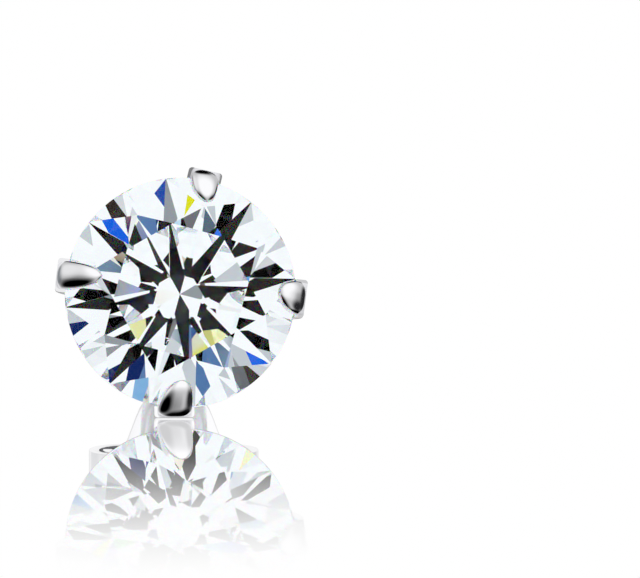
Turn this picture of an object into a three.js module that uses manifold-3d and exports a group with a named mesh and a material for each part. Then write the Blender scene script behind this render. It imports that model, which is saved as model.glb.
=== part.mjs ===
// Stud earring: a round brilliant held by four bent claws over a gallery ring, with an ear post
// soldered to the back of the setting and a rolled butterfly nut pushed on to the post.
// Everything is first built upright on the stone's own axis, +Z out of the table and the girdle's
// middle at 0. The finished earring is then laid down the way it lies by itself: on the heel of its
// lowest claw and on the edge of the nut. Millimetres and degrees throughout.
import * as THREE from "three";
import { ConvexGeometry } from "three/addons/geometries/ConvexGeometry.js";
import { mergeVertices } from "three/addons/utils/BufferGeometryUtils.js";
import Module from "manifold-3d";

// The stone
const STONE_DIAMETER = 6.5;
const TABLE_DIAMETER = 3.82; // across opposite corners of the table
const CROWN_ANGLE = 37.3;
const PAVILION_ANGLE = 40.9;
const GIRDLE_THICKNESS = 0.18; // at its thickest, where a main facet meets it
const STAR_SHARE = 0.47; // of the way from the table's edge to the girdle
const LOWER_HALF_SHARE = 0.82; // of the way from the girdle to the culet
const MAIN_FACETS = 8;
const GIRDLE_STEPS = 6; // straight steps of the girdle along each half facet
const STONE_TURN = 7; // from +X to the nearest main facet, seen from the front

// The claws, bent from flat wire with rounded edges
const CLAW_PROUD = 0.27; // how far a claw stands outside the girdle
const CLAW_DEPTH = 0.65; // of the wire, measured towards the axis
const CLAW_SHOULDER = 0.08; // by which the wire is wider than the claw, on each side
const CLAW_CROWN = 0.16; // by which a claw's outside is lower at its edges
const CLAW_ROUNDNESS = 2.2; // power of that crown's curve over the stone
const WIRE_ROUNDNESS = 8; // and below the stone, where the outside is flat but for its edges
const WIRE_CHAMFER = 0.1; // of the wire's inner edges
const HEEL_BELOW = 0.33; // from the girdle down to where the wire turns upright
const HEEL_ABOVE = 0.18; // from the girdle up to where it starts to bend over the stone
const HEEL_BLEND = 0.35; // length of the rounding between the sloping wire and the heel
const CLAW_FULLNESS = 0.42; // how far the bend carries on up before it turns in
const NOSE_HEIGHT = 0.26; // of the claw's nose over the stone
const NOSE_TAPER = 0.18; // share of the width lost on the way to the nose
const NOSE_ROUNDNESS = 2.6; // power of the nose's outline seen from the front
const PIVOT_INSET = 0.12; // from the nose to the line that the bend's sections fan out from
const PIVOT_DROP = 0.25; // of that line below the girdle's middle
// Each claw is bent and filed by hand. facing: the way its heel faces, seen from the front.
// shift: of the whole claw along its heel. width: of its heel. reach: from heel to nose.
// lean: of the nose along the heel. shift and lean are positive anticlockwise.
const CLAWS = [
  { name: "top", facing: 77, shift: 0.06, width: 0.8, reach: 0.95, lean: -0.18 },
  { name: "left", facing: 173.4, shift: -0.11, width: 0.8, reach: 1.31, lean: -0.05 },
  { name: "bottom", facing: 270, shift: -0.18, width: 0.97, reach: 1.08, lean: 0.22 },
  { name: "right", facing: 352.2, shift: 0.28, width: 0.92, reach: 0.83, lean: 0.09 },
];

// The rest of the setting
const SEAT_CLEARANCE = 0.03; // between the stone and the seat cut for it
const CULET_CLEARANCE = 0.35; // from the stone's point to the base under it
const BASE_RADIUS = 1.25; // of the base's flat back
const BASE_FLARE = 0.25; // by which the base widens towards the stone
const BASE_THICKNESS = 0.7;
const FOOT_INSET = 0.02; // of a claw's foot inside the base's back rim
const RAIL_DROP = 1.3; // from the bottom of the heels to the middle of the gallery ring
const RAIL_HEIGHT = 0.55;
const RAIL_WIDTH = 0.5;
const RAIL_INSET = 0.12; // of the ring's outside behind the claws' outside
const RAIL_ROUNDING = 0.14;
const RING_STEPS = 48;

// The post
const POST_DIAMETER = 0.8;
const POST_LENGTH = 10; // behind the base
const POST_ROOT = 0.3; // of the post inside the base
const POST_NOSE = 0.3; // length of the rounded end
const NOTCH_FROM_END = 1.5; // middle of the groove that the nut clicks into
const NOTCH_LENGTH = 0.45;
const NOTCH_DEPTH = 0.08;
const POST_STEPS = 24;

// The butterfly nut, one strip with both ends rolled up against the post
const LOBE_GAP = 5.4; // room for the ear lobe between the base and the nut
const STRIP_THICKNESS = 0.3;
const STRIP_WIDTH = 5.2; // at its middle
const STRIP_END_WIDTH = 1.9; // of the rolled ends
const STRIP_EVEN = 0.8; // from the strip's middle to where it starts to narrow
const STRIP_NARROWED = 1.7; // from its middle to where it is as narrow as its ends
const STRIP_STEPS = 8; // from its middle to the start of a scroll
const SCROLL_RADIUS = 1.1; // of the middle of the sheet where a scroll begins
const SCROLL_SHRINK = 0.42; // by which that radius falls over each turn
const SCROLL_TURNS = 1.25;
const SCROLL_STEPS = 30;
const GRIP_CLEARANCE = 0.04; // between the nut and the post

const radians = THREE.MathUtils.degToRad;
const { clamp, lerp, smoothstep } = THREE.MathUtils;
const stoneRadius = STONE_DIAMETER / 2;
const tableRadius = TABLE_DIAMETER / 2;
const halfGirdle = GIRDLE_THICKNESS / 2;
const postRadius = POST_DIAMETER / 2;
const facetStep = radians(360 / MAIN_FACETS);
const betweenMains = facetStep / 2;

// Heights of the main facets at a distance from the axis, along the facet's middle
const crownHeight = (distance) => halfGirdle + (stoneRadius - distance) * Math.tan(radians(CROWN_ANGLE));
const pavilionHeight = (distance) =>
  -halfGirdle - (stoneRadius - distance) * Math.tan(radians(PAVILION_ANGLE));
const tableHeight = crownHeight(tableRadius);
const culetHeight = pavilionHeight(0);

// Star facets end, and lower halves begin, on the line where two main facets meet
const lineMiddle = Math.cos(betweenMains);
const tableEdge = tableRadius * lineMiddle;
const starRadius = lerp(tableEdge, stoneRadius, STAR_SHARE);
const starHeight = crownHeight(starRadius * lineMiddle);
const lowerRadius = stoneRadius * (1 - LOWER_HALF_SHARE);
const lowerHeight = pavilionHeight(lowerRadius * lineMiddle);

const heelRadius = stoneRadius + CLAW_PROUD;
const heelBottom = -halfGirdle - HEEL_BELOW;
const heelTop = halfGirdle + HEEL_ABOVE;
const baseFront = culetHeight - CULET_CLEARANCE;
const baseBack = baseFront - BASE_THICKNESS;
const footRadius = BASE_RADIUS - FOOT_INSET;
const footHeight = baseBack + FOOT_INSET;
const postEnd = baseBack - POST_LENGTH;
const nutFront = baseBack - LOBE_GAP;

const wasm = await Module();
wasm.setup();

// A closed geometry as a manifold-3d solid.
function toSolid(geometry) {
  geometry.deleteAttribute("normal");
  geometry.deleteAttribute("uv");
  const merged = mergeVertices(geometry, 1e-4);
  return new wasm.Manifold(
    new wasm.Mesh({
      numProp: 3,
      vertProperties: merged.attributes.position.array,
      triVerts: new Uint32Array(merged.index.array),
    }),
  );
}

// A manifold-3d solid as a geometry.
function toGeometry(solid) {
  const { numProp, numVert, vertProperties, triVerts } = solid.getMesh();
  const positions = new Float32Array(numVert * 3);
  for (let i = 0; i < numVert; i++) {
    positions.set(vertProperties.subarray(i * numProp, i * numProp + 3), i * 3);
  }
  const geometry = new THREE.BufferGeometry();
  geometry.setAttribute("position", new THREE.BufferAttribute(positions, 3));
  geometry.setIndex(new THREE.BufferAttribute(triVerts, 1));
  geometry.computeVertexNormals();
  return geometry;
}

// A profile of [distance from the axis, height] pairs, from its top down, turned about Z.
function turned(profile, steps) {
  const points = profile.map(([distance, height]) => new THREE.Vector2(distance, height)).reverse();
  return toSolid(new THREE.LatheGeometry(points, steps).rotateX(Math.PI / 2));
}

// The points of a quarter circle or ellipse from one angle to another, both in degrees, as pairs.
function rounded(x, y, radiusX, radiusY, from, to) {
  const curve = new THREE.EllipseCurve(x, y, radiusX, radiusY, radians(from), radians(to), from > to);
  return curve.getPoints(3).map((point) => [point.x, point.y]);
}

// Rings with as many points each, in order along a body, skinned and closed at both ends.
function lofted(rings) {
  const count = rings[0].length;
  const positions = rings.flat().flatMap((point) => point.toArray());
  const index = [];
  for (let ring = 0; ring + 1 < rings.length; ring++) {
    for (let i = 0; i < count; i++) {
      const here = ring * count + i;
      const next = ring * count + ((i + 1) % count);
      index.push(here, next, next + count, here, next + count, here + count);
    }
  }
  const last = (rings.length - 1) * count;
  for (let i = 1; i + 1 < count; i++) {
    index.push(0, i + 1, i);
    index.push(last, last + i, last + i + 1);
  }
  const geometry = new THREE.BufferGeometry();
  geometry.setAttribute("position", new THREE.Float32BufferAttribute(positions, 3));
  geometry.setIndex(index);
  return toSolid(geometry);
}

const polar = (distance, angle, height) =>
  new THREE.Vector3(distance * Math.cos(angle), distance * Math.sin(angle), height);

// The height at which the half facet through a tip and two points of the girdle's edge cuts the
// girdle's cylinder. The angle is measured from the middle of a main facet.
function girdleHeight(tipRadius, tipHeight, edgeHeight, angle) {
  const { normal, constant } = new THREE.Plane().setFromCoplanarPoints(
    polar(tipRadius, betweenMains, tipHeight),
    polar(stoneRadius, 0, edgeHeight),
    polar(stoneRadius, betweenMains, edgeHeight),
  );
  const { x, y } = polar(stoneRadius, angle, 0);
  return -(constant + normal.x * x + normal.y * y) / normal.z;
}

// Table, eight stars, eight kites and sixteen halves over the girdle, and eight mains and sixteen
// halves under it. All its faces are flat, so it is the hull of its corners.
function brilliant() {
  const corners = [polar(0, 0, culetHeight)];
  for (let main = 0; main < MAIN_FACETS; main++) {
    const middle = main * facetStep;
    corners.push(polar(tableRadius, middle, tableHeight));
    corners.push(polar(starRadius, middle + betweenMains, starHeight));
    corners.push(polar(lowerRadius, middle + betweenMains, lowerHeight));
    for (let step = -GIRDLE_STEPS; step < GIRDLE_STEPS; step++) {
      const offset = (step / GIRDLE_STEPS) * betweenMains;
      const upper = girdleHeight(starRadius, starHeight, halfGirdle, Math.abs(offset));
      const lower = girdleHeight(lowerRadius, lowerHeight, -halfGirdle, Math.abs(offset));
      corners.push(polar(stoneRadius, middle + offset, upper));
      corners.push(polar(stoneRadius, middle + offset, lower));
    }
  }
  return new ConvexGeometry(corners);
}

// What the seat is cut with: the stone's outline turned about its axis, larger all round by the
// clearance.
function seatCutter() {
  const clear = SEAT_CLEARANCE;
  return turned(
    [
      [0, tableHeight + clear],
      [tableRadius + clear, tableHeight + clear],
      [starRadius + clear, starHeight + clear],
      [stoneRadius + clear, halfGirdle + clear],
      [stoneRadius + clear, -halfGirdle - clear],
      [lowerRadius + clear, lowerHeight - clear],
      [0, culetHeight - 2 * clear],
    ],
    4 * RING_STEPS,
  );
}

// The outside of a claw in the plane through the axis, x away from the axis and y along it.
function clawOutline(reach) {
  const foot = new THREE.Vector2(footRadius, footHeight);
  const corner = new THREE.Vector2(heelRadius, heelBottom);
  const nose = new THREE.Vector2(heelRadius - reach, crownHeight(heelRadius - reach));
  const wireEnd = corner.clone().lerp(foot, HEEL_BLEND / corner.distanceTo(foot));
  const heelStart = new THREE.Vector2(heelRadius, heelBottom + HEEL_BLEND);
  const heelEnd = new THREE.Vector2(heelRadius, heelTop);
  const bendControl = new THREE.Vector2(heelRadius, heelTop + CLAW_FULLNESS);
  const noseControl = new THREE.Vector2(nose.x, nose.y + 2 * NOSE_HEIGHT);
  const stretches = [
    [new THREE.LineCurve(foot, wireEnd), 3],
    [new THREE.QuadraticBezierCurve(wireEnd, corner, heelStart), 5],
    [new THREE.LineCurve(heelStart, heelEnd), 3],
    [new THREE.CubicBezierCurve(heelEnd, bendControl, noseControl, nose), 14],
  ];
  return stretches.flatMap(([curve, steps]) => curve.getSpacedPoints(steps).slice(0, -1));
}

// One section of a claw, as pairs of the distance aside and the depth under its outside.
function clawSection(halfWidth, depth, crown, roundness) {
  const across = [-1, -0.96, -0.88, -0.75, -0.5, 0, 0.5, 0.75, 0.88, 0.96, 1];
  const chamfer = Math.min(WIRE_CHAMFER, halfWidth / 2);
  return [
    ...across.map((share) => [share * halfWidth, crown * Math.pow(Math.abs(share), roundness)]),
    [halfWidth, depth - chamfer],
    [halfWidth - chamfer, depth],
    [chamfer - halfWidth, depth],
    [-halfWidth, depth - chamfer],
  ];
}

// One claw, from its foot in the base to its nose on the stone.
function claw({ facing, shift, width, reach, lean }) {
  const outward = polar(1, radians(facing), 0);
  const sideways = polar(1, radians(facing + 90), 0);
  const pivot = new THREE.Vector2(heelRadius - reach - PIVOT_INSET, -PIVOT_DROP);
  const rings = clawOutline(reach).map((point) => {
    const rise = clamp((point.y - footHeight) / (heelBottom - footHeight), 0, 1);
    const along = point.y > 0 ? (heelRadius - point.x) / reach : 0;
    const overStone = smoothstep(point.y, heelTop - CLAW_SHOULDER, heelTop + CLAW_SHOULDER);
    const narrowing = Math.sqrt(1 - Math.pow(along, NOSE_ROUNDNESS));
    const halfWidth = ((1 - NOSE_TAPER * along) * narrowing * width) / 2 + CLAW_SHOULDER * (1 - overStone);
    // Sections lie level up to the pivot's height, and fan out from the pivot above it
    const inward = new THREE.Vector2(-1, 0);
    let depth = CLAW_DEPTH;
    if (point.y > pivot.y) {
      inward.subVectors(pivot, point);
      depth = Math.min(CLAW_DEPTH, 0.8 * inward.length());
      inward.normalize();
    }
    const roundness = lerp(WIRE_ROUNDNESS, CLAW_ROUNDNESS, overStone);
    return clawSection(halfWidth, depth, CLAW_CROWN * narrowing, roundness).map(([aside, under]) =>
      outward
        .clone()
        .multiplyScalar(point.x + inward.x * under)
        .addScaledVector(sideways, shift * rise + lean * along + aside)
        .setZ(point.y + inward.y * under),
    );
  });
  return lofted(rings);
}

// The ring that ties the claws together under the stone.
function galleryRing() {
  const level = heelBottom - RAIL_DROP;
  const share = (level - footHeight) / (heelBottom - footHeight);
  const outside = lerp(footRadius, heelRadius, share) - RAIL_INSET;
  const inside = outside - RAIL_WIDTH;
  const corner = outside - RAIL_ROUNDING;
  const top = level + RAIL_HEIGHT / 2;
  const bottom = level - RAIL_HEIGHT / 2;
  return turned(
    [
      [inside, top],
      ...rounded(corner, top - RAIL_ROUNDING, RAIL_ROUNDING, RAIL_ROUNDING, 90, 0),
      ...rounded(corner, bottom + RAIL_ROUNDING, RAIL_ROUNDING, RAIL_ROUNDING, 0, -90),
      [inside, bottom],
      [inside, top],
    ],
    RING_STEPS,
  );
}

// The solid cup that the claws stand in. Its back lies against the ear lobe.
function base() {
  const rim = BASE_RADIUS + BASE_FLARE;
  return turned(
    [
      [0, baseFront],
      [rim, baseFront],
      [rim, baseFront - BASE_FLARE],
      [BASE_RADIUS, baseBack],
      [0, baseBack],
    ],
    RING_STEPS,
  );
}

// The ear post, with a rounded end and the groove that the nut clicks into.
function post() {
  const notch = postEnd + NOTCH_FROM_END;
  return turned(
    [
      [0, baseBack + POST_ROOT],
      [postRadius, baseBack + POST_ROOT],
      [postRadius, notch + NOTCH_LENGTH / 2],
      [postRadius - NOTCH_DEPTH, notch + NOTCH_LENGTH / 4],
      [postRadius - NOTCH_DEPTH, notch - NOTCH_LENGTH / 4],
      [postRadius, notch - NOTCH_LENGTH / 2],
      ...rounded(0, postEnd + POST_NOSE, postRadius, POST_NOSE, 0, -90),
    ],
    POST_STEPS,
  );
}

// Claws, gallery ring, base and post are soldered, so they are one solid.
function setting() {
  const pieces = [base(), galleryRing(), post(), ...CLAWS.map(claw)];
  return pieces.reduce((joined, piece) => joined.add(piece)).subtract(seatCutter());
}

// A scroll starts on the strip's flat middle, with its centre where its inner side meets the post.
const scrollRadius = (turns) => SCROLL_RADIUS - SCROLL_SHRINK * turns;
const scrollCentre = new THREE.Vector2(
  postRadius + GRIP_CLEARANCE + STRIP_THICKNESS / 2 + scrollRadius(0.75),
  nutFront - STRIP_THICKNESS / 2 - SCROLL_RADIUS,
);

// The middle of the strip seen along its width, x to the side and y along the earring's axis, from
// beside the post to the end of a scroll.
function stripMiddle() {
  const points = [];
  for (let step = 0; step < STRIP_STEPS; step++) {
    points.push(new THREE.Vector2((step / STRIP_STEPS) * scrollCentre.x, nutFront - STRIP_THICKNESS / 2));
  }
  for (let step = 0; step <= SCROLL_STEPS; step++) {
    const turns = (step / SCROLL_STEPS) * SCROLL_TURNS;
    const angle = radians(90 - 360 * turns);
    const offset = new THREE.Vector2(Math.cos(angle), Math.sin(angle));
    points.push(offset.multiplyScalar(scrollRadius(turns)).add(scrollCentre));
  }
  return points;
}

// The sections of the strip from beside the post to the end of a scroll. It narrows on the way.
function stripSections() {
  const points = stripMiddle();
  let travelled = 0;
  return points.map((point, i) => {
    const before = points[Math.max(i - 1, 0)];
    const after = points[Math.min(i + 1, points.length - 1)];
    travelled += point.distanceTo(before);
    const narrowed = smoothstep(travelled, STRIP_EVEN, STRIP_NARROWED);
    const half = lerp(STRIP_WIDTH, STRIP_END_WIDTH, narrowed) / 2;
    const along = new THREE.Vector2().subVectors(after, before).normalize();
    const normal = new THREE.Vector2(-along.y, along.x).multiplyScalar(STRIP_THICKNESS / 2);
    return [
      new THREE.Vector3(point.x + normal.x, half, point.y + normal.y),
      new THREE.Vector3(point.x + normal.x, -half, point.y + normal.y),
      new THREE.Vector3(point.x - normal.x, -half, point.y - normal.y),
      new THREE.Vector3(point.x - normal.x, half, point.y - normal.y),
    ];
  });
}

// The butterfly nut: the strip from one scroll to the other, with the post's hole through it.
function butterflyNut() {
  const right = stripSections();
  const left = right.slice(1).map((section) => section.map(({ x, y, z }) => new THREE.Vector3(-x, y, z)));
  const hole = turned(
    [
      [0, nutFront + STRIP_THICKNESS],
      [postRadius + GRIP_CLEARANCE, nutFront + STRIP_THICKNESS],
      [postRadius + GRIP_CLEARANCE, nutFront - 2 * STRIP_THICKNESS],
      [0, nutFront - 2 * STRIP_THICKNESS],
    ],
    POST_STEPS,
  );
  return lofted([...left.reverse(), ...right]).subtract(hole);
}

const polishedSilver = new THREE.MeshStandardMaterial({ color: 0xd9dadc, metalness: 1, roughness: 0.08 });
const clearStone = new THREE.MeshStandardMaterial({ color: 0xf4f8fa, metalness: 0, roughness: 0 });

function mesh(name, geometry, material) {
  const made = new THREE.Mesh(geometry, material);
  made.name = name;
  return made;
}

const earring = new THREE.Group();
const stone = mesh("round_stone", brilliant(), clearStone);
stone.rotation.z = radians(STONE_TURN);
earring.add(stone);
earring.add(mesh("claw_setting", toGeometry(setting()), polishedSilver));
earring.add(mesh("butterfly_nut", toGeometry(butterflyNut()), polishedSilver));

// Laid down with the table to -Y, tipped back until the heel and the nut's edge are level.
const stripBack = nutFront - STRIP_THICKNESS;
const restTilt = Math.atan2(heelRadius - STRIP_WIDTH / 2, heelBottom + HEEL_BLEND - stripBack);
earring.rotation.x = Math.PI / 2 - restTilt;

// The origin is on the surface that it lies on, under the middle of its bounding box.
const part = new THREE.Group();
part.add(earring);
const box = new THREE.Box3().setFromObject(part, true);
const middle = box.getCenter(new THREE.Vector3());
earring.position.set(-middle.x, -middle.y, -box.min.z);

export default part;
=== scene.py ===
"""Looks of the stud earring: a brilliant-cut clear stone in a claw setting, with its ear post and nut.

Every new piece is modelled upright on the bench, in millimetres, on the stone's own axis: +Z out of the
table and the girdle's middle at 0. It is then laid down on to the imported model, in metres.
"""

import logging
import math
from dataclasses import dataclass
from enum import Enum
from typing import Callable, Sequence

import bpy
from mathutils import Matrix, Vector

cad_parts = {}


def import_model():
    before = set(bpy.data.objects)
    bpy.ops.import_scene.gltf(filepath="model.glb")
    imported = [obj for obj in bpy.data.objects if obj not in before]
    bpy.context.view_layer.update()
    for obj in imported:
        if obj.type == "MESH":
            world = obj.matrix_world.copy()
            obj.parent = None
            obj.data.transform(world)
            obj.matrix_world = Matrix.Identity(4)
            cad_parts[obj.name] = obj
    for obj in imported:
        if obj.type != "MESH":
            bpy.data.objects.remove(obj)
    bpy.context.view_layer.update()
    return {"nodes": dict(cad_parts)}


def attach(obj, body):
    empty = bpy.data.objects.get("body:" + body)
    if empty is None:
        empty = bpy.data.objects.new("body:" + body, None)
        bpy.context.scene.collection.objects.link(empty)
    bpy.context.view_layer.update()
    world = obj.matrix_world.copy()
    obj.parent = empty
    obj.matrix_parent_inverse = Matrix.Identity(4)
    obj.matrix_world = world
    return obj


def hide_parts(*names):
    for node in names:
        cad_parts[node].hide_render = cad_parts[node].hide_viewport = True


log = logging.getLogger("stud_earring")

Colour = bpy.types.NodeSocket | tuple[float, ...]

MM = 0.001
BODY = "root"

# The photograph in pixels, and how it sees the stone, in millimetres and degrees
PHOTO_WIDTH = 640
PHOTO_HEIGHT = 578
STONE_PIXEL = (180.3, 292.8)
PIXELS_PER_MM = 35.49
EYE_DISTANCE = 189.0
TABLE_SEEN_RIGHT = 1.106
TABLE_SEEN_UP = 3.143
SENSOR_WIDTH = 36.0
NEAREST_SEEN = 18.9

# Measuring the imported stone
NORMAL_DIGITS = 3
RIM_BAND = 0.01

# Modelling, on the bench. The last two are limits for the normals of the girdle and of a strip's end
ROUNDING_STEPS = 5
SECTION_STEPS = 8
TURNING_STEPS = 96
SMOOTH_ANGLE = 35.0
GIRDLE_SMOOTH_ANGLE = 2.5
MERGE_DISTANCE = 1e-4
CUT_THRESHOLD = 1e-5
GIRDLE_NORMAL_Z = 0.55
END_NORMAL_X = 0.9

# Rendering. Metal that is seen straight stays under this ray depth
LIGHT_BOUNCES = 24
SEEN_STRAIGHT_DEPTH = 2.5

# The mix node's sockets for colours, beside which it has others for numbers
FIRST_COLOUR = 6
SECOND_COLOUR = 7
MIXED_COLOUR = 2


def linear(hex_colour: str) -> tuple[float, float, float, float]:
    """Turns an sRGB hex colour to linear light.

    Args:
        hex_colour: Six hex digits, such as "d9dadc".

    Returns:
        Red, green, blue and an alpha of 1.
    """
    shares = [int(hex_colour[i : i + 2], 16) / 255 for i in (0, 2, 4)]
    curved = [s / 12.92 if s <= 0.04045 else ((s + 0.055) / 1.055) ** 2.4 for s in shares]
    return (*curved, 1.0)


def add_node(tree: bpy.types.NodeTree, kind: str, inputs: dict | None = None, **settings) -> bpy.types.Node:
    """Adds a node with its settings, values and links.

    Args:
        tree: The node tree to add to.
        kind: The node's type.
        inputs: Input names or numbers with a value, or the output socket that feeds them.
        **settings: The node's own settings.

    Returns:
        The node.
    """
    node = tree.nodes.new(kind)
    for name, value in settings.items():
        setattr(node, name, value)
    for key, value in (inputs or {}).items():
        if isinstance(value, bpy.types.NodeSocket):
            tree.links.new(value, node.inputs[key])
        else:
            node.inputs[key].default_value = value
    return node


def mix_colours(
    tree: bpy.types.NodeTree, share: bpy.types.NodeSocket, first: Colour, second: Colour
) -> bpy.types.NodeSocket:
    """Mixes two colours by the share of the second one."""
    sides = {0: share, FIRST_COLOUR: first, SECOND_COLOUR: second}
    return add_node(tree, "ShaderNodeMix", sides, data_type="RGBA").outputs[MIXED_COLOUR]


def new_material(name: str) -> tuple[bpy.types.Material, bpy.types.NodeTree]:
    """Makes a material and gives it with its empty node tree."""
    material = bpy.data.materials.new(name)
    material.use_nodes = True
    material.node_tree.nodes.clear()
    return material, material.node_tree


@dataclass(frozen=True)
class Station:
    """A place that a wire's section is drawn out to.

    Attributes:
        place: Where the middle of the section's outside goes.
        turn: Degrees that the section is turned about Y.
        wide: Share of the section's width.
    """

    place: Vector
    turn: float = 0.0
    wide: float = 1.0


@dataclass(frozen=True)
class Lie:
    """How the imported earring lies: the stone's axis and the girdle's middle, in metres.

    Attributes:
        axis: The way out of the stone's table.
        girdle: The middle of the stone's girdle.
    """

    axis: Vector
    girdle: Vector

    @classmethod
    def of_stone(cls, stone: bpy.types.Object) -> "Lie":
        """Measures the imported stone, whose table is its largest flat face.

        Args:
            stone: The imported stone's node.

        Returns:
            How it lies.
        """
        areas: dict[tuple[float, ...], Vector] = {}
        for face in stone.data.polygons:
            facing = tuple(round(x, NORMAL_DIGITS) for x in face.normal)
            areas[facing] = areas.get(facing, Vector()) + face.normal * face.area
        axis = max(areas.values(), key=lambda area: area.length).normalized()
        points = [vertex.co for vertex in stone.data.vertices]
        culet = min(points, key=axis.dot)
        spans = [(((p - culet) - axis * axis.dot(p - culet)).length, axis.dot(p - culet)) for p in points]
        widest = max(span for span, _ in spans)
        heights = [height for span, height in spans if span > widest - RIM_BAND * MM]
        return cls(axis, culet + axis * (min(heights) + max(heights)) / 2)

    def matrix(self) -> Matrix:
        """Takes a piece from the bench, in millimetres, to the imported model, in metres."""
        tilt = math.atan2(self.axis.z, -self.axis.y)
        turned = Matrix.Rotation(math.pi / 2 - tilt, 4, "X")
        return Matrix.Translation(self.girdle) @ turned @ Matrix.Scale(MM, 4)


class Bench:
    """Where pieces are modelled by hand tools, one at a time, and then laid down."""

    def __init__(self, lie: Lie) -> None:
        """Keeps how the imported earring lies."""
        self.lie = lie

    def clear(self) -> None:
        """Deselects every object."""
        bpy.ops.object.select_all(action="DESELECT")

    def pick(self, piece: bpy.types.Object) -> None:
        """Selects only this piece and makes it active."""
        self.clear()
        piece.select_set(True)
        bpy.context.view_layer.objects.active = piece

    def edit(self, piece: bpy.types.Object) -> None:
        """Enters edit mode with only this piece."""
        self.pick(piece)
        bpy.ops.object.mode_set(mode="EDIT")

    def select(self, mode: str, test: Callable[[Vector, Vector], bool]) -> None:
        """Selects the parts of the mesh in edit mode that pass a test of place and normal.

        Args:
            mode: "VERT" or "FACE".
            test: Says of a vertex's or a face's middle and normal whether it is selected.
        """
        bpy.ops.mesh.select_mode(type=mode)
        bpy.ops.mesh.select_all(action="DESELECT")
        bpy.ops.object.mode_set(mode="OBJECT")
        mesh = bpy.context.object.data
        if mode == "VERT":
            for vertex in mesh.vertices:
                vertex.select = test(vertex.co, vertex.normal)
        else:
            for face in mesh.polygons:
                face.select = test(face.center, face.normal)
        bpy.ops.object.mode_set(mode="EDIT")

    def close(self) -> None:
        """Merges doubles, turns the faces outwards and leaves edit mode."""
        bpy.ops.mesh.select_all(action="SELECT")
        bpy.ops.mesh.remove_doubles(threshold=MERGE_DISTANCE)
        bpy.ops.mesh.normals_make_consistent(inside=False)
        bpy.ops.object.mode_set(mode="OBJECT")

    def apply(self, piece: bpy.types.Object, kind: str, **settings) -> None:
        """Adds a modifier and applies it.

        Args:
            piece: The object to change.
            kind: The modifier's type.
            **settings: The modifier's settings.
        """
        self.pick(piece)
        modifier = piece.modifiers.new(kind.lower(), kind)
        for name, value in settings.items():
            setattr(modifier, name, value)
        bpy.ops.object.modifier_apply(modifier=modifier.name)

    def cut(self, piece: bpy.types.Object, tool: bpy.types.Object) -> None:
        """Cuts a piece with a tool, which is thrown away."""
        self.apply(piece, "BOOLEAN", operation="DIFFERENCE", object=tool, solver="EXACT")
        bpy.data.objects.remove(tool)

    def solder(self, piece: bpy.types.Object, others: Sequence[bpy.types.Object]) -> None:
        """Joins other pieces into a piece as one solid."""
        for other in others:
            self.apply(piece, "BOOLEAN", operation="UNION", object=other, solver="EXACT")
            bpy.data.objects.remove(other)

    def turn(self, profile: Sequence[tuple[float, float]], steps: int) -> bpy.types.Object:
        """Turns a solid on the axis, as on a lathe.

        Args:
            profile: Distances from the axis with heights, from the top down.
            steps: Steps of the whole turn.

        Returns:
            The solid.
        """
        self.clear()
        radius, height = profile[0]
        bpy.ops.mesh.primitive_plane_add(size=1, location=(0, 0, 0))
        turned = bpy.context.object
        bpy.ops.object.mode_set(mode="EDIT")
        bpy.ops.mesh.select_mode(type="VERT")
        bpy.ops.mesh.select_all(action="SELECT")
        bpy.ops.mesh.merge(type="CENTER")
        bpy.ops.transform.translate(value=(radius, 0, height))
        for next_radius, next_height in profile[1:]:
            step = (next_radius - radius, 0, next_height - height)
            bpy.ops.mesh.extrude_region_move(TRANSFORM_OT_translate={"value": step})
            radius, height = next_radius, next_height
        bpy.ops.mesh.select_all(action="SELECT")
        bpy.ops.mesh.spin(steps=steps, angle=2 * math.pi, center=(0, 0, 0), axis=(0, 0, 1))
        self.close()
        return turned

    def section(
        self, wide: float, deep: float, outer: float, inner: float, dome: float = 1.0
    ) -> bpy.types.Object:
        """Lays out the section of a flat wire with its outside on the axis, facing +X.

        Args:
            wide: Its width, along Y.
            deep: Its depth, along X.
            outer: Rounding of its outer edges.
            inner: Chamfer of its inner edges.
            dome: How deep the outer rounding is, as a share of its width.

        Returns:
            An object in edit mode with the section selected.
        """
        self.clear()
        bpy.ops.mesh.primitive_plane_add(size=1, location=(0, 0, 0))
        wire = bpy.context.object
        bpy.ops.object.mode_set(mode="EDIT")
        stretched = deep / dome
        bpy.ops.transform.resize(value=(stretched, wide, 1))
        bpy.ops.transform.translate(value=(-stretched / 2, 0, 0))
        self.select("VERT", lambda place, _: place.x > -stretched / 2)
        bpy.ops.mesh.bevel(offset=outer, segments=SECTION_STEPS, affect="VERTICES")
        self.select("VERT", lambda place, _: place.x < inner / 2 - stretched)
        bpy.ops.mesh.bevel(offset=inner, segments=1, affect="VERTICES")
        bpy.ops.mesh.select_all(action="SELECT")
        bpy.ops.transform.resize(value=(dome, 1, 1), center_override=(0, 0, 0))
        return wire

    def draw_out(self, stations: Sequence[Station]) -> None:
        """Moves the selected section to the first station and extrudes it through the others.

        Args:
            stations: Where the section's outside goes, how far it is turned and its share of the width.
        """
        here = Vector()
        turned, wide = 0.0, 1.0
        for number, station in enumerate(stations):
            step = station.place - here
            if number == 0:
                bpy.ops.transform.translate(value=step)
            else:
                bpy.ops.mesh.extrude_region_move(TRANSFORM_OT_translate={"value": step})
            here = station.place
            # With no window this operator turns the other way
            angle = -math.radians(station.turn - turned)
            if angle:
                bpy.ops.transform.rotate(value=angle, orient_axis="Y", center_override=here)
            if station.wide != wide:
                bpy.ops.transform.resize(value=(1, station.wide / wide, 1), center_override=here)
            turned, wide = station.turn, station.wide

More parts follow.
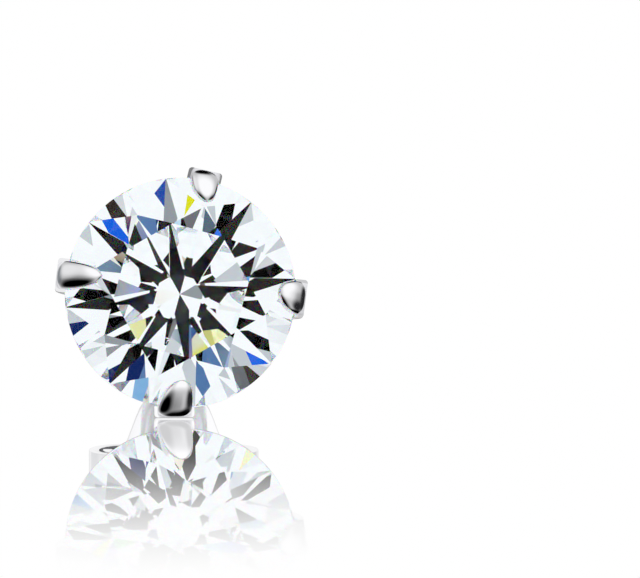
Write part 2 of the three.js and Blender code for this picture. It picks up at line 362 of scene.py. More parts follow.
    def lay(self, piece: bpy.types.Object, name: str, smooth_angle: float) -> bpy.types.Object:
        """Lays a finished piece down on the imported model, with its place in its mesh.

        Args:
            piece: The finished piece on the bench.
            name: What it is called.
            smooth_angle: Degrees up to which the shading runs on over an edge.

        Returns:
            The piece.
        """
        self.pick(piece)
        piece.name = name
        piece.data.name = name
        piece.matrix_world = self.lie.matrix() @ piece.matrix_world
        bpy.ops.object.transform_apply(location=True, rotation=True, scale=True)
        bpy.ops.object.shade_smooth_by_angle(angle=math.radians(smooth_angle))
        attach(piece, BODY)
        size = [round(length / MM, 2) for length in piece.dimensions]
        log.info("%s: %d faces, %s mm", name, len(piece.data.polygons), size)
        return piece


def curve_points(corners: Sequence[tuple[float, float]], steps: int) -> list[tuple[float, float]]:
    """Follows a Bezier curve, without its first point.

    Args:
        corners: Three or four control points.
        steps: How many points to give.

    Returns:
        The points.
    """
    points = []
    for step in range(1, steps + 1):
        share = step / steps
        row = list(corners)
        while len(row) > 1:
            pairs = zip(row, row[1:])
            row = [(a[0] + (b[0] - a[0]) * share, a[1] + (b[1] - a[1]) * share) for a, b in pairs]
        points.append(row[0])
    return points


def quarter(x: float, z: float, wide: float, high: float, start: float) -> list[tuple[float, float]]:
    """Follows a quarter of an ellipse clockwise.

    Args:
        x: Its middle's distance from the axis.
        z: Its middle's height.
        wide: Its half width.
        high: Its half height.
        start: The angle that it starts at, in degrees.

    Returns:
        The points.
    """
    angles = [math.radians(start - 90 * step / ROUNDING_STEPS) for step in range(ROUNDING_STEPS + 1)]
    return [(x + wide * math.cos(angle), z + high * math.sin(angle)) for angle in angles]


def smoothstep(value: float, low: float, high: float) -> float:
    """Goes softly from 0 at a low value to 1 at a high one."""
    share = min(max((value - low) / (high - low), 0.0), 1.0)
    return share * share * (3 - 2 * share)


@dataclass
class RoundStone:
    """The round brilliant, cut facet by facet from a round blank. Millimetres and degrees.

    Attributes:
        bench: Where it is cut.
        diameter: Across its girdle.
        table_diameter: Across opposite corners of its table.
        crown_angle: Of its eight kites.
        pavilion_angle: Of its eight mains.
        girdle: The girdle's thickness where a main facet meets it.
        star_share: How far the stars reach from the table's edge to the girdle.
        lower_half_share: How far the lower halves reach from the girdle to the point.
        turn: From +X to the nearest main facet, seen from the front.
        girdle_round: By which the bruted girdle is rounded off at its edges.
        mains: Main facets all round.
        blank_sides: Sides of the round blank.
    """

    bench: Bench
    diameter: float = 6.5
    table_diameter: float = 3.82
    crown_angle: float = 37.3
    pavilion_angle: float = 40.9
    girdle: float = 0.18
    star_share: float = 0.47
    lower_half_share: float = 0.82
    turn: float = 7.0
    girdle_round: float = 0.03
    mains: int = 8
    blank_sides: int = 192

    def crown_height(self, distance: float) -> float:
        """Height of a kite's middle at a distance from the axis."""
        slope = math.tan(math.radians(self.crown_angle))
        return self.girdle / 2 + (self.diameter / 2 - distance) * slope

    def pavilion_height(self, distance: float) -> float:
        """Height of a main's middle at a distance from the axis."""
        slope = math.tan(math.radians(self.pavilion_angle))
        return -self.girdle / 2 - (self.diameter / 2 - distance) * slope

    def tips(self) -> tuple[tuple[float, float], tuple[float, float]]:
        """Where the stars end and where the lower halves begin.

        Returns:
            Two pairs of a distance from the axis and a height.
        """
        middle = math.cos(math.pi / self.mains)
        edge = self.table_diameter / 2 * middle
        star = edge + (self.diameter / 2 - edge) * self.star_share
        lower = self.diameter / 2 * (1 - self.lower_half_share)
        return (star, self.crown_height(star * middle)), (lower, self.pavilion_height(lower * middle))

    def point(self, distance: float, mains: float, height: float) -> Vector:
        """A point at a distance from the axis, so many main facets round from the first one."""
        angle = math.radians(self.turn + mains * 360 / self.mains)
        return Vector((distance * math.cos(angle), distance * math.sin(angle), height))

    def facets(self) -> list[tuple[Vector, Vector]]:
        """Works out the facets in the order that they are cut.

        Returns:
            A point and an outward normal for each facet.
        """
        radius, table = self.diameter / 2, self.table_diameter / 2
        top, bottom = self.crown_height(table), self.pavilion_height(0)
        (star, star_top), (lower, lower_top) = self.tips()
        corners = []
        for n in range(self.mains):
            culet = Vector((0, 0, bottom))
            edge = (self.point(radius, n, -self.girdle / 2), self.point(lower, n + 0.5, lower_top))
            corners.append((culet, *edge))
            kite = (self.point(table, n, top), self.point(radius, n, self.girdle / 2))
            corners.append((*kite, self.point(star, n + 0.5, star_top)))
        for n in range(self.mains):
            star_tip = self.point(star, n + 0.5, star_top)
            lower_tip = self.point(lower, n + 0.5, lower_top)
            corners.append((self.point(table, n, top), self.point(table, n + 1, top), star_tip))
            for main in (n, n + 1):
                for tip, half in ((star_tip, self.girdle / 2), (lower_tip, -self.girdle / 2)):
                    edge = (self.point(radius, main, half), self.point(radius, n + 0.5, half))
                    corners.append((tip, *edge))
        facets = [(Vector((0, 0, top)), Vector((0, 0, 1)))]
        for a, b, c in corners:
            normal = (b - a).cross(c - a).normalized()
            facets.append((a, normal if normal.dot(a + b + c) > 0 else -normal))
        return facets

    def cut(self, polished: bpy.types.Material, bruted: bpy.types.Material) -> bpy.types.Object:
        """Cuts the stone.

        Args:
            polished: The facets' finish.
            bruted: The girdle's finish.

        Returns:
            The stone, laid down.
        """
        radius, half = self.diameter / 2, self.girdle / 2
        top, bottom = self.crown_height(0), self.pavilion_height(0)
        edge = radius - self.girdle_round
        rim = [(edge, half), (radius, half / 2), (radius, -half / 2), (edge, -half)]
        blank = [(0, top), (edge, top), *rim, (edge, bottom), (0, bottom)]
        stone = self.bench.turn(blank, self.blank_sides)
        self.bench.edit(stone)
        # Each cut leaves the stone closed, and what is outside the facet is gone
        for place, normal in self.facets():
            bpy.ops.mesh.select_all(action="SELECT")
            bpy.ops.mesh.bisect(
                plane_co=place, plane_no=normal, use_fill=True, clear_outer=True, threshold=CUT_THRESHOLD
            )
        self.bench.close()
        stone.data.materials.append(polished)
        stone.data.materials.append(bruted)
        self.bench.edit(stone)
        self.bench.select("FACE", lambda _, normal: abs(normal.z) < GIRDLE_NORMAL_Z)
        stone.active_material_index = 1
        bpy.ops.object.material_slot_assign()
        bpy.ops.object.mode_set(mode="OBJECT")
        return self.bench.lay(stone, "brilliant", GIRDLE_SMOOTH_ANGLE)

    def seat(self, clearance: float) -> bpy.types.Object:
        """Turns the tool that the seat is cut with.

        Args:
            clearance: By which it is larger than the stone all round.

        Returns:
            The tool, on the bench.
        """
        (star, star_top), (lower, lower_top) = self.tips()
        table, top = self.table_diameter / 2, self.crown_height(self.table_diameter / 2)
        wide = self.diameter / 2 + clearance
        profile = [
            (0, top + clearance),
            (table + clearance, top + clearance),
            (star + clearance, star_top + clearance),
            (wide, self.girdle / 2 + clearance),
            (wide, -self.girdle / 2 - clearance),
            (lower + clearance, lower_top - clearance),
            (0, self.pavilion_height(0) - 2 * clearance),
        ]
        return self.bench.turn(profile, self.blank_sides)


@dataclass(frozen=True)
class Claw:
    """One claw, bent and filed by hand. Millimetres and degrees.

    Attributes:
        facing: The way its heel faces, seen from the front.
        shift: Of the whole claw along its heel, anticlockwise.
        width: Of its heel.
        reach: From its heel to its nose.
        lean: Of the nose along the heel, anticlockwise.
    """

    facing: float
    shift: float
    width: float
    reach: float
    lean: float


@dataclass
class ClawSetting:
    """Claws, gallery ring, base and ear post, soldered together. Millimetres."""

    bench: Bench
    stone: RoundStone
    claws: tuple[Claw, ...] = (
        Claw(77, 0.06, 0.8, 0.95, -0.18),
        Claw(173.4, -0.11, 0.8, 1.31, -0.05),
        Claw(270, -0.18, 0.97, 1.08, 0.22),
        Claw(352.2, 0.28, 0.92, 0.83, 0.09),
    )
    # A claw's wire, and what is filed from it
    proud: float = 0.27
    depth: float = 0.65
    shoulder: float = 0.08
    wire_rounding: float = 0.1
    claw_rounding: float = 0.38
    claw_dome: float = 0.5
    chamfer: float = 0.1
    heel_below: float = 0.33
    heel_above: float = 0.18
    heel_blend: float = 0.35
    fullness: float = 0.42
    nose_height: float = 0.26
    nose_taper: float = 0.18
    nose_roundness: float = 2.6
    pivot_inset: float = 0.12
    pivot_drop: float = 0.25
    nose_depth: float = 0.8
    claw_inset: float = 0.01
    # The seat and the base
    seat_clearance: float = 0.03
    culet_clearance: float = 0.35
    base_radius: float = 1.25
    base_flare: float = 0.25
    base_thickness: float = 0.7
    base_rounding: float = 0.08
    foot_inset: float = 0.02
    # The gallery ring
    rail_drop: float = 1.3
    rail_height: float = 0.55
    rail_width: float = 0.5
    rail_inset: float = 0.12
    rail_rounding: float = 0.14
    # The ear post
    post_radius: float = 0.4
    post_length: float = 10.0
    post_root: float = 0.3
    post_nose: float = 0.3
    notch_from_end: float = 1.5
    notch_length: float = 0.45
    notch_depth: float = 0.08
    bend_steps: int = 18

    def __post_init__(self) -> None:
        """Works out the heights and distances that the pieces share."""
        self.heel = self.stone.diameter / 2 + self.proud
        self.heel_bottom = -self.stone.girdle / 2 - self.heel_below
        self.heel_top = self.stone.girdle / 2 + self.heel_above
        self.base_front = self.stone.pavilion_height(0) - self.culet_clearance
        self.base_back = self.base_front - self.base_thickness
        self.foot = (self.base_radius - self.foot_inset, self.base_back + self.foot_inset)

    def station(self, claw: Claw, place: tuple[float, float], wide: float) -> Station:
        """Works out how the section stands at a place on a claw's outside.

        Args:
            claw: The claw.
            place: Distance from the axis and height.
            wide: Share of the section's width.

        Returns:
            The station, for a claw that faces +X.
        """
        distance, height = place
        rise = (height - self.foot[1]) / (self.heel_bottom - self.foot[1])
        along = max((self.heel - distance) / claw.reach, 0.0) if height > 0 else 0.0
        aside = claw.shift * min(max(rise, 0.0), 1.0) + claw.lean * along
        above = height + self.pivot_drop
        inside = distance - (self.heel - claw.reach - self.pivot_inset)
        turn = -math.degrees(math.atan2(above, inside)) if above > 0 else 0.0
        return Station(Vector((distance, aside, height)), turn, wide)

    def wire(self, claw: Claw) -> bpy.types.Object:
        """Draws out a claw's flat wire, from its foot in the base to the top of its heel."""
        corner, start = (self.heel, self.heel_bottom), (self.heel, self.heel_bottom + self.heel_blend)
        slope = math.dist(corner, self.foot)
        share = self.heel_blend / slope
        end = (
            corner[0] + (self.foot[0] - corner[0]) * share,
            corner[1] + (self.foot[1] - corner[1]) * share,
        )
        places = [self.foot, end, *curve_points((end, corner, start), self.bend_steps // 2)]
        places += [(self.heel, 0.0), (self.heel, self.heel_top)]
        full = claw.width + 2 * self.shoulder
        wire = self.bench.section(full, self.depth, self.wire_rounding, self.chamfer)
        self.bench.draw_out([self.station(claw, place, 1.0) for place in places])
        self.bench.close()
        return wire

    def nose(self, claw: Claw) -> bpy.types.Object:
        """Draws out what is filed from the wire, from inside the heel over the stone to the nose."""
        tip = self.heel - claw.reach
        outside = self.heel - self.claw_inset
        nose = (tip, self.stone.crown_height(tip))
        controls = (
            (outside, self.heel_top),
            (outside, self.heel_top + self.fullness),
            (tip, nose[1] + 2 * self.nose_height),
            nose,
        )
        bend = curve_points(controls, self.bend_steps)[:-1]
        places = [(outside, 0.0), (outside, self.heel_top), *bend]
        stations = []
        for place in places:
            along = max((self.heel - place[0]) / claw.reach, 0.0)
            narrowing = math.sqrt(1 - along**self.nose_roundness)
            stations.append(self.station(claw, place, (1 - self.nose_taper * along) * narrowing))
        above = nose[1] + self.pivot_drop
        deep = min(self.depth, self.nose_depth * math.hypot(self.pivot_inset, above))
        piece = self.bench.section(claw.width, deep, self.claw_rounding, self.chamfer, self.claw_dome)
        self.bench.draw_out(stations)
        self.bench.close()
        return piece

    def rail(self) -> bpy.types.Object:
        """Turns the gallery ring that ties the claws together under the stone."""
        level = self.heel_bottom - self.rail_drop
        share = (level - self.foot[1]) / (self.heel_bottom - self.foot[1])
        outside = self.foot[0] + (self.heel - self.foot[0]) * share - self.rail_inset
        inside = outside - self.rail_width
        corner, half = outside - self.rail_rounding, self.rail_height / 2 - self.rail_rounding
        profile = [(inside, level + self.rail_height / 2)]
        profile += quarter(corner, level + half, self.rail_rounding, self.rail_rounding, 90)
        profile += quarter(corner, level - half, self.rail_rounding, self.rail_rounding, 0)
        profile += [(inside, level - self.rail_height / 2), profile[0]]
        return self.bench.turn(profile, TURNING_STEPS)

    def base(self) -> bpy.types.Object:
        """Turns the cup that the claws stand in."""
        rim, rounding = self.base_radius + self.base_flare, self.base_rounding
        profile = [(0, self.base_front)]
        profile += quarter(rim - rounding, self.base_front - rounding, rounding, rounding, 90)
        profile.append((rim, self.base_front - self.base_flare))
        profile += [(self.base_radius, self.base_back), (0, self.base_back)]
        return self.bench.turn(profile, TURNING_STEPS)

    def post(self) -> bpy.types.Object:
        """Turns the ear post, with a rounded end and the groove that the nut clicks into."""
        radius, end = self.post_radius, self.base_back - self.post_length
        notch, half = end + self.notch_from_end, self.notch_length / 2
        profile = [
            (0, self.base_back + self.post_root),
            (radius, self.base_back + self.post_root),
            (radius, notch + half),
            (radius - self.notch_depth, notch + half / 2),
            (radius - self.notch_depth, notch - half / 2),
            (radius, notch - half),
            *quarter(0, end + self.post_nose, radius, self.post_nose, 0),
        ]
        return self.bench.turn(profile, TURNING_STEPS)

    def build(self) -> bpy.types.Object:
        """Makes the setting.

        Returns:
            The setting as one solid, laid down.
        """
        setting = self.base()
        others = [self.rail(), self.post()]
        for claw in self.claws:
            for piece in (self.wire(claw), self.nose(claw)):
                piece.rotation_euler = (0, 0, math.radians(claw.facing))
                others.append(piece)
        self.bench.solder(setting, others)
        self.bench.cut(setting, self.stone.seat(self.seat_clearance))
        return self.bench.lay(setting, "setting", SMOOTH_ANGLE)


@dataclass
class ButterflyNut:
    """The nut, one strip with both ends rolled up against the post. Millimetres."""

    bench: Bench
    setting: ClawSetting
    # The strip, which is even beside the post and is then narrowed towards its ends
    lobe_gap: float = 5.4
    thickness: float = 0.3
    width: float = 5.2
    end_width: float = 1.9
    even: float = 0.8
    narrowed: float = 1.7
    # Its rolled ends
    scroll_radius: float = 1.1
    scroll_shrink: float = 0.42
    scroll_turns: float = 1.25
    turns_at_post: float = 0.75
    # Where it meets the post, and its edges
    grip_clearance: float = 0.04
    edge_rounding: float = 0.05
    flat_steps: int = 12
    scroll_steps: int = 60

    def radius(self, turns: float) -> float:
        """The scroll's radius after so many turns."""
        return self.scroll_radius - self.scroll_shrink * turns

    def stations(self) -> list[Station]:
        """Works out the strip from beside the post to the end of a scroll.

        Returns:
            The stations of the middle of the sheet's front.
        """
        front = self.setting.base_back - self.lobe_gap
        half = self.thickness / 2
        middle = self.setting.post_radius + self.grip_clearance + half + self.radius(self.turns_at_post)
        centre = front - half - self.scroll_radius
        places = [(middle * step / self.flat_steps, front, 0.0) for step in range(self.flat_steps)]
        for step in range(self.scroll_steps + 1):
            turns = step / self.scroll_steps * self.scroll_turns
            angle, outside = math.radians(90 - 360 * turns), self.radius(turns) + half
            place = (middle + outside * math.cos(angle), centre + outside * math.sin(angle))
            places.append((*place, 360 * turns))
        stations, travelled, before = [], 0.0, places[0]
        for place in places:
            travelled += math.dist(place[:2], before[:2])
            before = place
            share = smoothstep(travelled, self.even, self.narrowed)
            wide = 1 + (self.end_width / self.width - 1) * share
            stations.append(Station(Vector((place[0], 0, place[1])), place[2] - 90, wide))
        return stations

    def build(self) -> bpy.types.Object:
        """Makes the nut.

        Returns:
            The nut, laid down.
        """
        nut = self.bench.section(self.width, self.thickness, self.edge_rounding, self.edge_rounding)
        self.bench.draw_out(self.stations())
        # The cut end at the middle goes, so that the other half joins on
        near = self.edge_rounding
        self.bench.select("FACE", lambda place, normal: abs(place.x) < near and abs(normal.x) > END_NORMAL_X)
        bpy.ops.mesh.delete(type="FACE")
        self.bench.close()
        self.bench.apply(nut, "MIRROR", use_clip=True)
        self.bench.edit(nut)
        self.bench.close()
        front = self.setting.base_back - self.lobe_gap
        hole = self.setting.post_radius + self.grip_clearance
        top, bottom = front + self.thickness, front - 2 * self.thickness
        drill = [(0, top), (hole, top), (hole, bottom), (0, bottom)]
        self.bench.cut(nut, self.bench.turn(drill, TURNING_STEPS))
        return self.bench.lay(nut, "ear_nut", SMOOTH_ANGLE)


@dataclass(frozen=True)
class CutZirconia:
    """Cubic zirconia, cut and polished on a lap.

    Its index is near a diamond's, so light turns back inside it, and it spreads white light into
    colours more than a diamond does: sharp white and dark facets, some of them blue or yellow.
    """

    index: float = 2.257
    spread: float = 0.013
    edge_blur: float = 0.015
    gloss_index: float = 1.16
    # Sharpens the step from clear to mirrored, as seen from inside
    contrast: float = 1.9
    # What enters, and the three beams that leave
    tint: str = "f7fcff"
    red: str = "e85858"
    green: str = "58e858"
    blue: str = "5858e8"

    def make(self) -> bpy.types.Material:
        """Makes the material.

        Returns:
            A clear glass whose light is spread only where it leaves the stone.
        """
        material, tree = new_material("cut_zirconia")
        side = add_node(tree, "ShaderNodeNewGeometry")
        sharp = {"Color": linear(Light.WHITE.value), "Roughness": 0.0}
        mirror = add_node(tree, "ShaderNodeBsdfGlossy", sharp)
        # Coming in, little is thrown back, so the dark facets stay dark
        gloss = add_node(tree, "ShaderNodeFresnel", {"IOR": self.gloss_index})
        entry = {"Color": linear(self.tint), "Roughness": 0.0, "IOR": self.index}
        enter = add_node(tree, "ShaderNodeBsdfRefraction", entry)
        front = {0: gloss.outputs[0], 1: enter.outputs[0], 2: mirror.outputs[0]}
        outside = add_node(tree, "ShaderNodeMixShader", front)
        # Going out, each colour is bent by its own angle
        leave = []
        for colour, shift in ((self.red, -self.spread), (self.green, 0.0), (self.blue, self.spread)):
            inputs = {"Color": linear(colour), "Roughness": self.edge_blur, "IOR": self.index + shift}
            leave.append(add_node(tree, "ShaderNodeBsdfRefraction", inputs))
        two = add_node(tree, "ShaderNodeAddShader", {0: leave[0].outputs[0], 1: leave[1].outputs[0]})
        three = add_node(tree, "ShaderNodeAddShader", {0: two.outputs[0], 1: leave[2].outputs[0]})
        turned = add_node(tree, "ShaderNodeFresnel", {"IOR": self.index})
        power = {0: turned.outputs[0], 1: self.contrast}
        total = add_node(tree, "ShaderNodeMath", power, operation="POWER")
        back = {0: total.outputs[0], 1: three.outputs[0], 2: mirror.outputs[0]}
        inside = add_node(tree, "ShaderNodeMixShader", back)
        sides = {0: side.outputs["Backfacing"], 1: outside.outputs[0], 2: inside.outputs[0]}
        mix = add_node(tree, "ShaderNodeMixShader", sides)
        add_node(tree, "ShaderNodeOutputMaterial", {"Surface": mix.outputs[0]})
        return material


@dataclass(frozen=True)
class BrutedGirdle:
    """The stone's rim, ground against another stone and left frosted: a thin grey line. Millimetres."""

    colour: str = "8c9096"
    roughness: float = 0.5
    clearness: float = 0.2
    grit: float = 0.02
    grit_depth: float = 0.002
    relief: float = 0.4
    detail: float = 2.0

    def make(self) -> bpy.types.Material:
        """Makes the material.

        Returns:
            A ground glass with the pits of the grit.
        """
        material, tree = new_material("bruted_girdle")
        place = add_node(tree, "ShaderNodeTexCoord")
        pits = {"Vector": place.outputs["Object"], "Scale": 1 / (self.grit * MM), "Detail": self.detail}
        noise = add_node(tree, "ShaderNodeTexNoise", pits)
        height = {"Height": noise.outputs[0], "Strength": self.relief, "Distance": self.grit_depth * MM}
        bump = add_node(tree, "ShaderNodeBump", height)
        surface = {
            "Base Color": linear(self.colour),
            "Roughness": self.roughness,
            "Transmission Weight": self.clearness,
            "Normal": bump.outputs[0],
        }
        shader = add_node(tree, "ShaderNodeBsdfPrincipled", surface)
        add_node(tree, "ShaderNodeOutputMaterial", {"Surface": shader.outputs[0]})
        return material


@dataclass(frozen=True)
class PolishedRhodium:
    """Rhodium-plated sterling silver, filed by hand and buffed to a mirror.

    It shows the room in cool greys that run softly into black, a little duller in patches where the
    buff pressed less, with the fine lines that the buff left along the metal. Millimetres.
    """

    colour: str = "e4e4e6"
    buffed: float = 0.05
    dull: float = 0.13
    patch: float = 0.6
    patch_span: tuple[float, float] = (0.35, 0.65)
    patch_detail: float = 3.0
    line: float = 0.03
    line_depth: float = 0.003
    line_detail: float = 2.0
    stretch: float = 12.0
    relief: float = 0.12

    def make(self) -> bpy.types.Material:
        """Makes the material.

        Returns:
            A mirror metal with duller patches and faint buffing lines.
        """
        material, tree = new_material("polished_rhodium")
        place = add_node(tree, "ShaderNodeTexCoord").outputs["Object"]
        patches = {"Vector": place, "Scale": 1 / (self.patch * MM), "Detail": self.patch_detail}
        spots = add_node(tree, "ShaderNodeTexNoise", patches)
        span = {
            "Value": spots.outputs[0],
            "From Min": self.patch_span[0],
            "From Max": self.patch_span[1],
            "To Min": self.buffed,
            "To Max": self.dull,
        }
        polish = add_node(tree, "ShaderNodeMapRange", span)
        along = {0: place, 1: (1, 1 / self.stretch, 1)}
        drawn = add_node(tree, "ShaderNodeVectorMath", along, operation="MULTIPLY")
        grain = {"Vector": drawn.outputs[0], "Scale": 1 / (self.line * MM), "Detail": self.line_detail}
        lines = add_node(tree, "ShaderNodeTexNoise", grain)
        height = {"Height": lines.outputs[0], "Strength": self.relief, "Distance": self.line_depth * MM}
        bump = add_node(tree, "ShaderNodeBump", height)
        surface = {
            "Base Color": linear(self.colour),
            "Metallic": 1.0,
            "Roughness": polish.outputs[0],
            "Normal": bump.outputs[0],
        }
        shader = add_node(tree, "ShaderNodeBsdfPrincipled", surface)
        add_node(tree, "ShaderNodeOutputMaterial", {"Surface": shader.outputs[0]})
        return material


class Light(Enum):
    """What hangs in the studio around the earring, by its sRGB colour."""

    BLACK = "000000"
    CHARCOAL = "2c2c2e"
    BROWN = "2e2520"
    DIM = "6a6c70"
    GREY = "94989c"
    PALE = "c8ccd0"
    WHITE = "ffffff"
    NAVY = "0c2460"
    BLUE = "1060e0"
    SKY = "80b0dc"
    STEEL = "5478a8"
    TEAL = "7088a0"
    YELLOW = "e4e200"


@dataclass(frozen=True)
class Card:
    """A round card or lamp in the studio, seen from the stone.

    Attributes:
        clock: Degrees from the viewer's right, anticlockwise.
        away: Degrees away from the line from the stone to the eye.
        radius: Half its width, in degrees.
        soft: Width of its soft edge, in degrees.
        light: What it shows.
        strength: Times its colour.
    """

    clock: float
    away: float
    radius: float
    soft: float
    light: Light
    strength: float = 1.0


@dataclass
class Studio:
    """The eye, the floor and the light around the earring.

    Attributes:
        lie: How the earring lies.
        floor_size: Across, in metres.
        mirror_share: How much the floor mirrors where the earring lies.
        mirror_near: Millimetres away at which this starts to fade.
        mirror_far: Millimetres away at which none is left.
        stone_room: Brightness of the room that the stone shows.
        metal_room: Brightness of the room that the metal shows.
        pale_room: Brightness that goes into metal seen in the floor or the stone.
        paler: Its share there.
        stone_cards: What the stone shows in its room.
        metal_cards: What the metal shows in its room.
    """

    lie: Lie
    floor_size: float = 20.0
    mirror_share: float = 0.95
    mirror_near: float = 16.0
    mirror_far: float = 62.0
    stone_room: float = 1.0
    metal_room: float = 0.7
    pale_room: float = 1.3
    paler: float = 0.6
    stone_cards: tuple[Card, ...] = (
        Card(285, 64, 26, 24, Light.PALE),
        Card(222, 66, 15, 12, Light.PALE),
        Card(305, 49, 8, 4, Light.GREY),
        Card(8, 26, 9, 4, Light.PALE),
        Card(10, 43, 4, 2, Light.DIM),
        Card(321, 79, 5, 3, Light.DIM),
        Card(39, 60, 4, 2, Light.GREY),
        Card(320, 30, 2.8, 0.6, Light.BROWN),
        Card(92.5, 39.2, 2.5, 0.6, Light.CHARCOAL),
        Card(281, 41, 3, 1, Light.CHARCOAL),
        Card(179, 42, 3, 1, Light.GREY),
        Card(187, 34, 2.6, 0.6, Light.GREY),
        Card(188, 38, 2.2, 0.6, Light.SKY),
        Card(178, 33, 3, 1, Light.BROWN),
        Card(158, 52, 3, 1, Light.STEEL),
        Card(273, 40.4, 3.9, 0.6, Light.YELLOW, 1.1),
        Card(171, 46, 2.1, 0.3, Light.YELLOW),
        Card(189.5, 30.2, 2.1, 0.4, Light.NAVY),
        Card(242, 27, 2, 1, Light.STEEL),
        Card(0, 0, 18.6, 0.6, Light.BLACK),
        Card(166, 6, 2.2, 0.5, Light.WHITE),
        Card(347, 5, 2.2, 0.5, Light.WHITE),
        Card(354, 14, 1.8, 0.4, Light.WHITE),
        Card(188, 12, 1.8, 0.4, Light.WHITE),
        Card(9, 10, 2.2, 0.8, Light.STEEL),
        Card(52, 12, 1.4, 0.4, Light.TEAL),
        Card(83, 12, 1.3, 0.4, Light.GREY),
        Card(292, 11, 1.3, 0.4, Light.PALE),
        Card(196, 4, 1.5, 0.6, Light.DIM),
        Card(165, 2.2, 1.2, 0.4, Light.STEEL),
        Card(316, 5, 1.6, 0.6, Light.TEAL, 0.5),
        Card(175, 28.5, 2, 0.6, Light.STEEL),
        Card(9, 20.5, 3.6, 0.6, Light.BLACK),
        Card(289, 17.5, 2.5, 0.5, Light.BLACK),
        Card(225, 17.5, 2.5, 0.5, Light.BLACK),
        Card(180, 18.6, 1.3, 0.3, Light.WHITE),
        Card(184.5, 23.5, 2.2, 0.6, Light.NAVY),
        Card(174.5, 17, 1.3, 0.4, Light.BLUE),
        Card(300, 20, 1.5, 0.5, Light.BLUE),
        Card(237, 19, 1.2, 0.4, Light.STEEL),
        Card(124, 21, 1.2, 0.4, Light.BLUE, 0.5),
    )
    metal_cards: tuple[Card, ...] = (
        Card(90, 158, 28, 16, Light.CHARCOAL),
        Card(175, 118, 22, 16, Light.GREY),
        Card(75, 42, 52, 44, Light.WHITE, 1.25),
        Card(225, 75, 44, 40, Light.BLACK),
        Card(285, 115, 30, 20, Light.BLACK),
        Card(350, 118, 26, 20, Light.CHARCOAL),
        Card(150, 84, 26, 30, Light.WHITE),
        Card(325, 84, 30, 30, Light.CHARCOAL),
        Card(90, 122, 20, 14, Light.BLACK),
    )

    def sight(self) -> tuple[Vector, Vector, Vector]:
        """Works out the photograph's line of sight.

        Returns:
            The viewer's right, the viewer's up and the way from the stone to the eye.
        """
        table_up = Vector((0, self.lie.axis.z, -self.lie.axis.y))
        aside, above = math.radians(TABLE_SEEN_RIGHT), math.radians(TABLE_SEEN_UP)
        back = Vector((-math.sin(aside) * math.cos(above), 0, 0))
        back += table_up * -math.sin(above)
        back += self.lie.axis * (math.cos(aside) * math.cos(above))
        right = Vector((0, 0, 1)).cross(back).normalized()
        return right, back.cross(right), back

    def place_camera(self) -> None:
        """Puts the camera where the photograph's was, aimed so that the stone is at its pixel."""
        right, up, back = self.sight()
        across = (PHOTO_WIDTH / 2 - STONE_PIXEL[0]) / PIXELS_PER_MM * MM
        above = (STONE_PIXEL[1] - PHOTO_HEIGHT / 2) / PIXELS_PER_MM * MM
        eye = self.lie.girdle + back * EYE_DISTANCE * MM
        aim = self.lie.girdle + right * across + up * above
        data = bpy.data.cameras.new("camera")
        data.sensor_width = SENSOR_WIDTH
        data.lens = SENSOR_WIDTH * EYE_DISTANCE / (PHOTO_WIDTH / PIXELS_PER_MM)
        data.clip_start = NEAREST_SEEN * MM
        data.clip_end = self.floor_size
        camera = bpy.data.objects.new("camera", data)
        bpy.context.scene.collection.objects.link(camera)
        camera.location = eye
        camera.rotation_euler = (aim - eye).to_track_quat("-Z", "Y").to_euler()
        bpy.context.scene.camera = camera

    def lay_floor(self) -> None:
        """Lays white glossy acrylic, which mirrors what stands near and fades with distance."""
        bpy.ops.object.select_all(action="DESELECT")
        bpy.ops.mesh.primitive_plane_add(size=self.floor_size, location=(0, 0, 0))
        floor = bpy.context.object
        floor.name = "floor"
        # The stone and the metal show the studio's cards in the floor's place
        floor.visible_transmission = False
        floor.visible_glossy = False
        material, tree = new_material("white_acrylic")
        place = add_node(tree, "ShaderNodeTexCoord")
        distance = add_node(tree, "ShaderNodeVectorMath", {0: place.outputs["Object"]}, operation="LENGTH")
        fade = {
            "Value": distance.outputs["Value"],
            "From Min": self.mirror_near * MM,
            "From Max": self.mirror_far * MM,
            "To Min": self.mirror_share,
            "To Max": 0.0,
        }
        share = add_node(tree, "ShaderNodeMapRange", fade, interpolation_type="SMOOTHSTEP")
        white = linear(Light.WHITE.value)
        glow = add_node(tree, "ShaderNodeEmission", {"Color": white, "Strength": 1.0})
        mirror = add_node(tree, "ShaderNodeBsdfGlossy", {"Color": white, "Roughness": 0.0})
        both = {0: share.outputs[0], 1: glow.outputs[0], 2: mirror.outputs[0]}
        mix = add_node(tree, "ShaderNodeMixShader", both)
        add_node(tree, "ShaderNodeOutputMaterial", {"Surface": mix.outputs[0]})
        floor.data.materials.append(material)

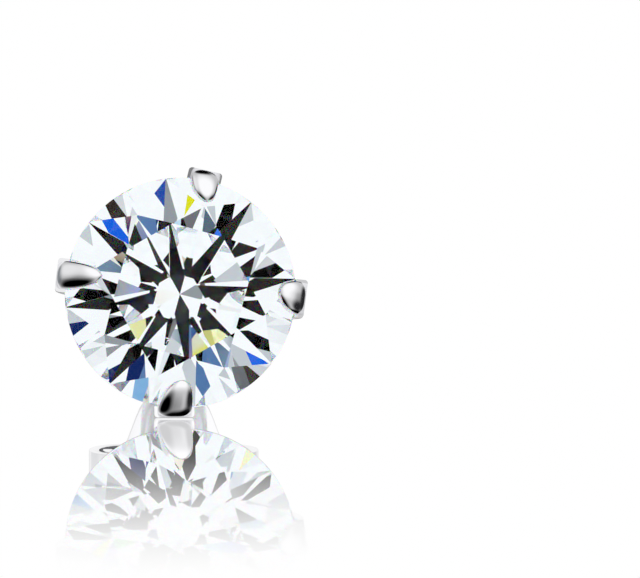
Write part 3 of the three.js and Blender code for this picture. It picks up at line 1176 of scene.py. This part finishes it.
    def paint(self, tree: bpy.types.NodeTree, cards: Sequence[Card], room: float) -> bpy.types.NodeSocket:
        """Paints cards over an evenly bright room.

        Args:
            tree: The world's node tree.
            cards: Each goes over the ones before it.
            room: How bright the room is.

        Returns:
            The colour that is seen in each direction.
        """
        right, up, back = self.sight()
        where = add_node(tree, "ShaderNodeTexCoord").outputs["Generated"]
        seen = add_node(tree, "ShaderNodeRGB").outputs[0]
        seen.default_value = (room, room, room, 1.0)
        for card in cards:
            clock, away = math.radians(card.clock), math.radians(card.away)
            way = (right * math.cos(clock) + up * math.sin(clock)) * math.sin(away) + back * math.cos(away)
            dot = add_node(tree, "ShaderNodeVectorMath", {0: where, 1: way}, operation="DOT_PRODUCT")
            angle = add_node(tree, "ShaderNodeMath", {0: dot.outputs["Value"]}, operation="ARCCOSINE")
            edge = {
                "Value": angle.outputs[0],
                "From Min": math.radians(card.radius + card.soft / 2),
                "From Max": math.radians(card.radius - card.soft / 2),
            }
            share = add_node(tree, "ShaderNodeMapRange", edge, interpolation_type="SMOOTHSTEP")
            shown = [channel * card.strength for channel in linear(card.light.value)[:3]]
            seen = mix_colours(tree, share.outputs[0], seen, (*shown, 1.0))
        return seen

    def hang_light(self) -> None:
        """Surrounds the earring with white, and with cards that only the stone or only the metal shows."""
        world = bpy.data.worlds.new("studio")
        bpy.context.scene.world = world
        world.use_nodes = True
        tree = world.node_tree
        tree.nodes.clear()
        path = add_node(tree, "ShaderNodeLightPath")
        white = linear(Light.WHITE.value)
        metal = self.paint(tree, self.metal_cards, self.metal_room)
        # Metal that the floor or the stone shows is paler than metal seen straight
        depth = {0: path.outputs["Ray Depth"], 1: SEEN_STRAIGHT_DEPTH}
        later = add_node(tree, "ShaderNodeMath", depth, operation="GREATER_THAN")
        paler = add_node(tree, "ShaderNodeMath", {0: later.outputs[0], 1: self.paler}, operation="MULTIPLY")
        metal = mix_colours(tree, paler.outputs[0], metal, (*(self.pale_room,) * 3, 1.0))
        # The floor and the stone's outside, which are perfect mirrors, show white
        seen = mix_colours(tree, path.outputs["Is Singular Ray"], metal, white)
        inner = self.paint(tree, self.stone_cards, self.stone_room)
        seen = mix_colours(tree, path.outputs["Is Transmission Ray"], seen, inner)
        seen = mix_colours(tree, path.outputs["Is Camera Ray"], seen, white)
        glow = add_node(tree, "ShaderNodeBackground", {"Color": seen, "Strength": 1.0})
        add_node(tree, "ShaderNodeOutputWorld", {"Surface": glow.outputs[0]})
        world.cycles.sampling_method = "NONE"


def main() -> None:
    """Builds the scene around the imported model."""
    logging.basicConfig(level=logging.INFO, format="%(message)s")
    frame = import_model()
    lie = Lie.of_stone(frame["nodes"]["round_stone"])
    log.info("The stone's axis is %s and its girdle's middle %s", tuple(lie.axis), tuple(lie.girdle))
    studio = Studio(lie)
    studio.place_camera()
    studio.lay_floor()
    studio.hang_light()
    bench = Bench(lie)
    stone = RoundStone(bench)
    setting = ClawSetting(bench, stone)
    nut = ButterflyNut(bench, setting)
    rhodium = PolishedRhodium().make()
    for piece, node, slot in (
        (stone.cut(CutZirconia().make(), BrutedGirdle().make()), "round_stone", "clear_stone"),
        (setting.build(), "claw_setting", "polished_silver"),
        (nut.build(), "butterfly_nut", "polished_silver"),
    ):
        if slot == "polished_silver":
            piece.data.materials.clear()
            piece.data.materials.append(rhodium)
        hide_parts(node)
    scene = bpy.context.scene
    scene.view_settings.view_transform = "Standard"
    scene.cycles.max_bounces = LIGHT_BOUNCES
    scene.cycles.glossy_bounces = LIGHT_BOUNCES
    scene.cycles.transmission_bounces = LIGHT_BOUNCES
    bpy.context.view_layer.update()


if __name__ == "__main__":
    main()
